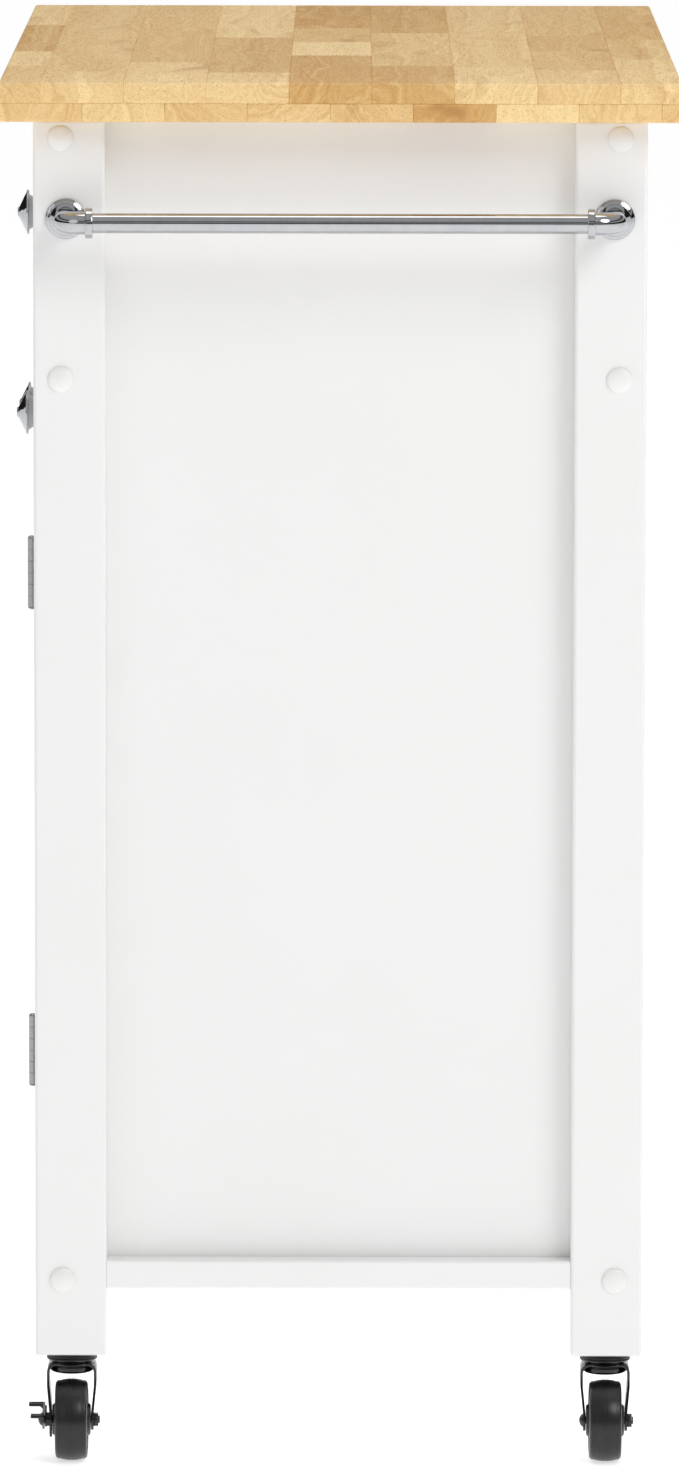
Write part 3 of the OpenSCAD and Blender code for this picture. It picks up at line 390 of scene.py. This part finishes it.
def turnPiece(name, profile, place, along, sides=64, smooth=35, finish=True):
    # a round piece turned from (radius, height) points in millimetres
    place, along = Vector(place), Vector(along).normalized()
    clearSelection()
    radius, height = profile[0]
    bpy.ops.mesh.primitive_circle_add(vertices=sides, radius=radius * mm, fill_type="NGON",
                                      location=place + along * height * mm,
                                      rotation=along.to_track_quat("Z", "Y").to_euler())
    obj = bpy.context.object
    obj.name = name
    settle(obj)
    bpy.ops.object.mode_set(mode="EDIT")
    bpy.ops.mesh.select_all(action="SELECT")
    extrudeProfile(profile[1:], profile[0], place, along)
    bpy.ops.object.mode_set(mode="OBJECT")
    if finish:
        tidyMesh(obj)
        smoothEdges(obj, smooth)
    return obj


def standFor(obj, nodeName, finish):
    # the piece takes the place, body and finish slot of a CAD node
    obj.data.materials.clear()
    obj.data.materials.append(finish.material)
    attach(obj, body_of(frame["nodes"][nodeName])[0])
    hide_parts(nodeName)


def middle(nodeName):
    low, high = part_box(nodeName)
    return (low + high) / 2


# worktop, glued up from blocks in two layers

worktopLook = {"edgeRound": 0.0022, "strip": 0.0526, "firstStrip": 0.027, "shortest": 0.09, "longest": 0.36,
               "upperShare": 0.52, "jointEase": 0.0004, "lowerOffset": 0.0263, "seed": 11}


def cutOff(obj, point, normal):
    # takes away what lies beyond the plane on the side its normal points to
    pickOnly(obj)
    bpy.ops.object.mode_set(mode="EDIT")
    bpy.ops.mesh.select_all(action="SELECT")
    bpy.ops.mesh.bisect(plane_co=point, plane_no=normal, use_fill=True, clear_outer=True)
    bpy.ops.object.mode_set(mode="OBJECT")


def cutSpan(obj, axis, low, high, ends):
    # keeps low..high along an axis; a cut at the slab's own ends isn't needed
    normal = Vector((0, 0, 0))
    normal[axis] = 1
    if high < ends[1] - 1e-6:
        cutOff(obj, normal * high, normal)
    if low > ends[0] + 1e-6:
        cutOff(obj, normal * low, -normal)


def spansOf(low, high, first, width):
    # strip edges from low to high
    edges = [low, low + first]
    while edges[-1] + width * 1.25 < high:
        edges.append(edges[-1] + width)
    return list(zip(edges, edges[1:] + [high]))


def makeWorktop():
    low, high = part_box("worktop")
    size, centre = high - low, (low + high) / 2
    clearSelection()
    bpy.ops.mesh.primitive_cube_add(size=1, location=centre, scale=size)
    slab = bpy.context.object
    settle(slab)
    applyBevel(slab, worktopLook["edgeRound"], 4)
    draw = random.Random(worktopLook["seed"])
    split = low.z + size.z * (1 - worktopLook["upperShare"])
    layers = [(split, high.z, worktopLook["firstStrip"]),
              (low.z, split, worktopLook["firstStrip"] + worktopLook["lowerOffset"])]
    blocks = []
    for layerLow, layerHigh, first in layers:
        layer = copyOf(slab, "layer")
        cutSpan(layer, 2, layerLow, layerHigh, (low.z, high.z))
        for stripLow, stripHigh in spansOf(low.y, high.y, first, worktopLook["strip"]):
            strip = copyOf(layer, "strip")
            cutSpan(strip, 1, stripLow, stripHigh, (low.y, high.y))
            at = low.x
            while at < high.x - 1e-6:
                end = at + draw.uniform(worktopLook["shortest"], worktopLook["longest"])
                if end > high.x - worktopLook["shortest"]:
                    end = high.x
                block = copyOf(strip, "block")
                cutSpan(block, 0, at, end, (low.x, high.x))
                applyBevel(block, worktopLook["jointEase"], 1, 60)
                addGrain(block, draw)
                blocks.append(block)
                at = end
            bpy.data.objects.remove(strip)
        bpy.data.objects.remove(layer)
    bpy.data.objects.remove(slab)
    count = len(blocks)
    worktop = joinAll(blocks, "gluedWorktop")
    smoothEdges(worktop, 40)
    standFor(worktop, "worktop", butcherBlock)
    print("worktop glued up,", count, "blocks")


def addGrain(block, draw):
    # each block is cut from another place in the log
    points = len(block.data.vertices)
    shift = (draw.uniform(-3, 3), draw.uniform(-0.11, 0.11), -0.9 + draw.uniform(-0.09, 0.03))
    tone = draw.betavariate(2.2, 1.7)
    made = block.data.attributes
    made.new("grainShift", "FLOAT_VECTOR", "POINT").data.foreach_set("vector", shift * points)
    made.new("blockTone", "FLOAT", "POINT").data.foreach_set("value", [tone] * points)


makeWorktop()

# knobs

knobLook = {"length": 21.5, "footRadius": 12, "footThick": 1.4, "neckRadius": 3.4, "rimRadius": 15,
            "rimThick": 1.6, "coneLength": 7, "tipRadius": 3.4, "screwRadius": 2, "headRadius": 4,
            "boardThick": 18, "cone": ((13.5, 1.1), (10.8, 2.5), (8.4, 3.6), (6.3, 4.6), (4.65, 5.3))}


def knobProfile():
    # screw, foot, hollow neck, thin rim, then a short cone to the tip
    k = knobLook
    board, foot, rim = k["boardThick"], k["footRadius"], k["rimRadius"]
    rimHeight, rimEdge, tip = k["length"] - k["coneLength"], k["rimThick"] / 2, k["tipRadius"]
    screw = [(k["headRadius"] - 0.4, -board - 2), (k["headRadius"], -board - 1.6), (k["headRadius"], -board),
             (k["screwRadius"], -board), (k["screwRadius"], 0)]
    base = [(foot - 0.3, 0), (foot, 0.3), (foot, k["footThick"] - 0.2), (foot - 0.2, k["footThick"])]
    return (screw + base
            + arc(foot - 0.4, k["footThick"] + k["neckRadius"], k["neckRadius"], 270, 180, 10)
            + [(rim * 0.7, rimHeight - 3.2), (rim - 3, rimHeight - 1)]
            + arc(rim - rimEdge, rimHeight, rimEdge, -70, 70, 8)
            + [(radius, rimHeight + ahead) for radius, ahead in k["cone"]]
            + arc(tip - 1, k["length"] - 1, 1, 10, 90, 6) + [(0.2, k["length"])])


def makeKnobs():
    first = None
    for nodeName in ("drawer_knob", "door_knob_left", "door_knob_right"):
        low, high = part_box(nodeName)
        foot = Vector(((low.x + high.x) / 2, low.y + knobLook["length"] * mm, (low.z + high.z) / 2))
        if first is None:
            first, firstFoot = turnPiece("turnedKnob", knobProfile(), foot, (0, -1, 0), 72), foot
            knob = first
        else:
            knob = copyOf(first, "turnedKnob")
            knob.location = foot - firstFoot
            settle(knob)
        knob.name = "turned_" + nodeName
        standFor(knob, nodeName, polishedChrome)
    print("knobs turned")


makeKnobs()

# towel bar and its brackets

barLook = {"footRadius": 13, "footHeight": 7, "stemRadius": 7.2, "bendRadius": 13, "out": 35,
           "collarRadius": 9.75, "collarLength": 5, "barRadius": 6.35, "bendSteps": 16,
           "footSteps": ((1, 1.2), (3.2, 3)), "tubeBore": 5.15, "tubeEase": 0.3}


def bracketProfile():
    b = barLook
    steps = [(b["footRadius"] - 0.4, 0), (b["footRadius"], 0.4)]
    for inset, height in b["footSteps"]:
        steps += arc(b["footRadius"] - inset, height, 1, 0, 90, 6)
    steps += arc(b["footRadius"] - 5, b["footHeight"], 2.6, 262, 186, 8)
    return steps + [(b["stemRadius"] + 0.1, b["footHeight"] + 0.6), (b["stemRadius"], b["footHeight"] + 2),
                    (b["stemRadius"], b["out"] - b["bendRadius"])]


def makeTowelBar():
    b = barLook
    low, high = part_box("towel_bar_brackets")
    footX = low.x
    centreY, height = (low.y + high.y) / 2, (low.z + high.z) / 2
    footY = high.y - b["footRadius"] * mm
    foot = Vector((footX, footY, height))
    bracket = turnPiece("bracket", bracketProfile(), foot, (1, 0, 0), 64, finish=False)
    bpy.ops.object.mode_set(mode="EDIT")
    pivot = foot + Vector(((b["out"] - b["bendRadius"]) * mm, -b["bendRadius"] * mm, 0))
    bpy.ops.mesh.spin(steps=b["bendSteps"], angle=math.radians(90), center=pivot, axis=(0, 0, 1))
    end = foot + Vector((b["out"] * mm, -b["bendRadius"] * mm, 0))
    ring = [v.co for v in bmesh.from_edit_mesh(bracket.data).verts if v.select]
    if (sum(ring, Vector()) / len(ring) - end).length > mm:
        raise RuntimeError("the bracket's bend doesn't end at its collar")
    collar = [(b["stemRadius"], 0.2), (b["collarRadius"] - 1.2, 0.2), (b["collarRadius"] - 0.5, 0.35),
              (b["collarRadius"], 0.9), (b["collarRadius"], b["collarLength"] - 0.7),
              (b["collarRadius"] - 0.2, b["collarLength"] - 0.2),
              (b["collarRadius"] - 0.7, b["collarLength"]),
              (b["barRadius"] + 0.05, b["collarLength"]), (b["barRadius"] + 0.05, 1.0)]
    extrudeProfile(collar, (b["stemRadius"], 0), end, Vector((0, -1, 0)))
    bpy.ops.object.mode_set(mode="OBJECT")
    tidyMesh(bracket)
    other = copyOf(bracket, "bracket")
    other.data.transform(Matrix.Translation((0, centreY, 0)) @ Matrix.Scale(-1, 4, (0, 1, 0))
                         @ Matrix.Translation((0, -centreY, 0)))
    tidyMesh(other)
    brackets = joinAll([bracket, other], "towelBarBrackets")
    smoothEdges(brackets, 40)
    standFor(brackets, "towel_bar_brackets", polishedChrome)
    barLow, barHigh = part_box("towel_bar")
    length = (barHigh.y - barLow.y) / mm
    start = Vector(((barLow.x + barHigh.x) / 2, barLow.y, (barLow.z + barHigh.z) / 2))
    bore, ease, radius = b["tubeBore"], b["tubeEase"], b["barRadius"]
    tube = [(bore, 0), (radius - ease, 0), (radius, ease)]
    tube += [(radius, length * i / 6) for i in range(1, 6)]
    tube += [(radius, length - ease), (radius - ease, length), (bore, length)]
    bar = turnPiece("towelBarTube", tube, start, (0, 1, 0), 64)
    standFor(bar, "towel_bar", polishedChrome)
    print("towel bar bent")


makeTowelBar()

# bolt caps

capLook = {"radius": 8.25, "rise": 3.2, "plugRadius": 6.5, "plug": 4, "ease": 0.15, "lift": 0.4,
           "heights": (0.8595, 0.7055, 0.1205)}


def makeBoltCaps():
    low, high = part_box("bolt_caps")
    c = capLook
    profile = [(c["plugRadius"] - c["lift"], -c["plug"]), (c["plugRadius"], c["lift"] - c["plug"]),
               (c["plugRadius"], 0),
               (c["radius"] - c["ease"], 0), (c["radius"], c["ease"])]
    domeRise = c["rise"] - c["lift"]
    profile += [(c["radius"] * math.cos(math.radians(a)), c["lift"] + domeRise * math.sin(math.radians(a)))
                for a in range(0, 86, 5)] + [(c["ease"], c["rise"])]
    insetY = high.y - c["radius"] * mm, low.y + c["radius"] * mm
    faces = (high.x - c["rise"] * mm, 1), (low.x + c["rise"] * mm, -1)
    first = {}
    caps = []
    for x, side in faces:
        for y in insetY:
            for z in c["heights"]:
                place = Vector((x, y, z))
                if side not in first:
                    first[side] = turnPiece("cap", profile, place, (side, 0, 0), 40), place
                    cap = first[side][0]
                else:
                    cap = copyOf(first[side][0], "cap")
                    cap.location = place - first[side][1]
                    settle(cap)
                caps.append(cap)
    standFor(joinAll(caps, "domedBoltCaps"), "bolt_caps", capPlastic)
    print("bolt caps pressed in,", len(caps))


makeBoltCaps()

# casters

casterLook = {"treadRadius": 26.5, "treadHalf": 10.5, "hubRadius": 20.5, "forkEdge": 0.00035,
              "cupRadius": 14.25, "cupRise": 9.6, "dishRadius": 16.55, "cupBore": 4.3,
              "hubEdge": 0.0004, "axleEdge": 0.0002, "leverEdge": 0.0003, "tyreShoulder": 3.4,
              "crownDrop": 1.1, "crownHalf": 7.5}


def cadCopy(nodeName, name, finish, edge, smooth=35, segments=2, extra=None):
    # a merged copy of a CAD node with eased edges, and what is fixed to it
    made = copyOf(frame["nodes"][nodeName], name)
    made.parent = None
    made.matrix_world = Matrix.Identity(4)
    for key in list(made.keys()):
        del made[key]
    tidyMerged(made)
    applyBevel(made, edge, segments, 50)
    smoothEdges(made, smooth)
    if extra:
        made = joinAll([made, extra], name)
    standFor(made, nodeName, finish)


def tidyMerged(obj):
    # the CAD faces already point outwards; only their doubles are merged
    pickOnly(obj)
    bpy.ops.object.mode_set(mode="EDIT")
    bpy.ops.mesh.select_all(action="SELECT")
    bpy.ops.mesh.remove_doubles(threshold=1e-6)
    bpy.ops.object.mode_set(mode="OBJECT")


def treadProfile():
    # crowned tyre with eased shoulders and a fine parting line
    c = casterLook
    r, half = c["treadRadius"], c["treadHalf"]
    inner, start = r - c["tyreShoulder"], -half + 0.15
    side = [(c["hubRadius"], -half), (c["hubRadius"] + 1.4, -half), (inner, start)]
    shoulder = [(inner + 2.4 * math.sin(math.radians(a)), start + 2.6 * (1 - math.cos(math.radians(a))))
                for a in range(15, 76, 12)]
    crown = [(r - c["crownDrop"] * (y / c["crownHalf"]) ** 2, y) for y in (-7.5, -6, -4.5, -3, -1.5, -0.4)]
    line = [(r - 0.02, -0.3), (r - 0.16, -0.12)]
    low = side + shoulder + crown + line
    return low + [(radius, -y) for radius, y in reversed(low)]


def turnCup(place):
    # the swivel's ball cup, hung from the dish under the leg
    c = casterLook
    leg, top = middle("leg_" + place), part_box("fork_" + place)[1].z
    bottom = Vector((leg.x, leg.y, top - c["cupRise"] * mm))
    cup, dish, rise = c["cupRadius"], c["dishRadius"], c["cupRise"]
    profile = [(c["cupBore"], 0.02), (cup - 2.2, 0.02), (cup - 0.9, 0.25), (cup - 0.25, 0.9),
               (cup, 1.8), (cup, 4.4),
               (cup - 0.35, 5.1), (cup - 0.3, 5.6), (cup + 0.5, 6.4), (dish - 0.9, 7.7), (dish - 0.15, 8.4),
               (dish, 8.9), (dish - 0.2, 9.3), (dish - 0.8, rise - 0.05), (c["cupBore"], rise - 0.05)]
    return openBore(turnPiece("cup", profile, bottom, (0, 0, 1), 80, 40), 40)


def makeCasters():
    for end in ("front", "rear"):
        for side in ("left", "right"):
            place = end + "_" + side
            tread = turnPiece("tyre_" + place, treadProfile(), middle("tread_" + place), (0, 1, 0), 96, 28)
            openBore(tread, 28)
            standFor(tread, "tread_" + place, treadRubber)
            cadCopy("wheel_" + place, "hub_" + place, blackNylon, casterLook["hubEdge"])
            cadCopy("fork_" + place, "pressedFork_" + place, blackEnamel, casterLook["forkEdge"],
                    extra=turnCup(place))
            cadCopy("axle_" + place, "axleBolt_" + place, blackEnamel, casterLook["axleEdge"])
    for side in ("left", "right"):
        cadCopy("brake_lever_" + side, "brakePedal_" + side, blackEnamel, casterLook["leverEdge"])
    cadCopy("caster_stems", "raceCups", blackEnamel, casterLook["leverEdge"])
    print("casters assembled")


def openBore(obj, smooth):
    # the end discs go and the two rims are bridged into a bore
    pickOnly(obj)
    bpy.ops.object.mode_set(mode="EDIT")
    bpy.ops.mesh.select_mode(type="FACE")
    bpy.ops.mesh.select_all(action="DESELECT")
    mesh = bmesh.from_edit_mesh(obj.data)
    for face in mesh.faces:
        face.select_set(len(face.verts) > 8)
    bmesh.update_edit_mesh(obj.data)
    bpy.ops.mesh.delete(type="ONLY_FACE")
    bpy.ops.mesh.select_mode(type="EDGE")
    bpy.ops.mesh.select_all(action="DESELECT")
    bpy.ops.mesh.select_non_manifold()
    bpy.ops.mesh.bridge_edge_loops()
    bpy.ops.mesh.select_mode(type="VERT")
    bpy.ops.object.mode_set(mode="OBJECT")
    tidyMesh(obj)
    smoothEdges(obj, smooth)
    return obj


makeCasters()

# hinges, with eased knuckles

hingeEdge = 0.00015
for nodeName, name in (("hinge_frame_leaves", "hingeLeaves"), ("hinge_pins", "hingePins"),
                       ("door_fittings_left", "doorFittings_left"),
                       ("door_fittings_right", "doorFittings_right")):
    cadCopy(nodeName, name, satinNickel, hingeEdge, segments=1)
print("hinges eased")

# camera, floor and light

view = {"place": (6.8841, 0.0117, 1.3712), "pitch": 7.788, "yaw": 0.102, "roll": 0.096,
        "lens": 252.1, "shift": 0.0}


def addCamera():
    data = bpy.data.cameras.new("camera")
    camera = bpy.data.objects.new("camera", data)
    bpy.context.scene.collection.objects.link(camera)
    pitch, yaw = math.radians(view["pitch"]), math.radians(view["yaw"])
    ahead = Vector((-math.cos(pitch) * math.cos(yaw), -math.cos(pitch) * math.sin(yaw), -math.sin(pitch)))
    camera.location = view["place"]
    camera.rotation_mode = "QUATERNION"
    roll = Quaternion(-ahead, math.radians(view["roll"]))
    camera.rotation_quaternion = roll @ ahead.to_track_quat("-Z", "Y")
    data.sensor_width, data.lens, data.shift_y = 36, view["lens"], view["shift"]
    data.clip_start, data.clip_end = 0.1, 200
    bpy.context.scene.camera = camera


studio = {"lamps": (("key", (3.2, 2.6, 3.4), 2.4, 72), ("fill", (3.6, -3.4, 2.2), 3.0, 17),
                    ("top", (-0.6, 0.2, 4.2), 3.0, 44)),
          "aim": (0, 0, 0.5), "world": 0.52, "floorGlow": 0.62, "floorHalf": 60,
          "bands": ((0.500, 0.03), (0.585, 0.03), (0.60, 1.0), (0.65, 1.0), (0.665, 0.18), (0.72, 0.18))}


def addLamp(name, place, size, power):
    data = bpy.data.lights.new(name, "AREA")
    data.shape, data.size, data.energy = "DISK", size, power
    lamp = bpy.data.objects.new(name, data)
    bpy.context.scene.collection.objects.link(lamp)
    lamp.location = place
    lamp.rotation_mode = "QUATERNION"
    lamp.rotation_quaternion = (Vector(studio["aim"]) - Vector(place)).to_track_quat("-Z", "Y")


def addStudio():
    bpy.ops.object.select_all(action="DESELECT")
    bpy.ops.mesh.primitive_plane_add(size=2 * studio["floorHalf"], location=(0, 0, cadLow.z))
    floor = bpy.context.object
    floor.name = "floor"
    f = Finish("paleFloor", "white_paint")
    cloud = f.noise(f.place(), 0.8, 2.0)
    f.close(Base_Color=f.blend(cloud, (0.80, 0.80, 0.80, 1), (0.82, 0.82, 0.82, 1)), Roughness=0.9,
            Emission_Color=(1, 1, 1, 1), Emission_Strength=studio["floorGlow"])
    floor.data.materials.append(f.material)
    for name, place, size, power in studio["lamps"]:
        addLamp(name, place, size, power)
    world = bpy.data.worlds.new("studio")
    bpy.context.scene.world = world
    world.use_nodes = True
    background = world.node_tree.nodes["Background"]
    background.inputs["Strength"].default_value = studio["world"]
    # dark bands above the horizon, for polished metal to show
    nodes, links = world.node_tree.nodes, world.node_tree.links
    coords, axes = nodes.new("ShaderNodeTexCoord"), nodes.new("ShaderNodeSeparateXYZ")
    height, ramp = nodes.new("ShaderNodeMapRange"), nodes.new("ShaderNodeValToRGB")
    height.inputs["From Min"].default_value = -1
    links.new(coords.outputs["Generated"], axes.inputs[0])
    links.new(axes.outputs["Z"], height.inputs[0])
    links.new(height.outputs[0], ramp.inputs[0])
    links.new(ramp.outputs[0], background.inputs["Color"])
    stops = ramp.color_ramp.elements
    stops[0].color, stops[1].color = (1, 1, 1, 1), (1, 1, 1, 1)
    stops.new(studio["bands"][0][0] - 0.01).color = (1, 1, 1, 1)
    for at, grey in studio["bands"]:
        stops.new(at).color = (grey, grey, grey, 1)
    stops.new(studio["bands"][-1][0] + 0.03).color = (1, 1, 1, 1)


addCamera()
addStudio()
bpy.context.scene.view_settings.view_transform = "Standard"
print("camera, floor and light added")
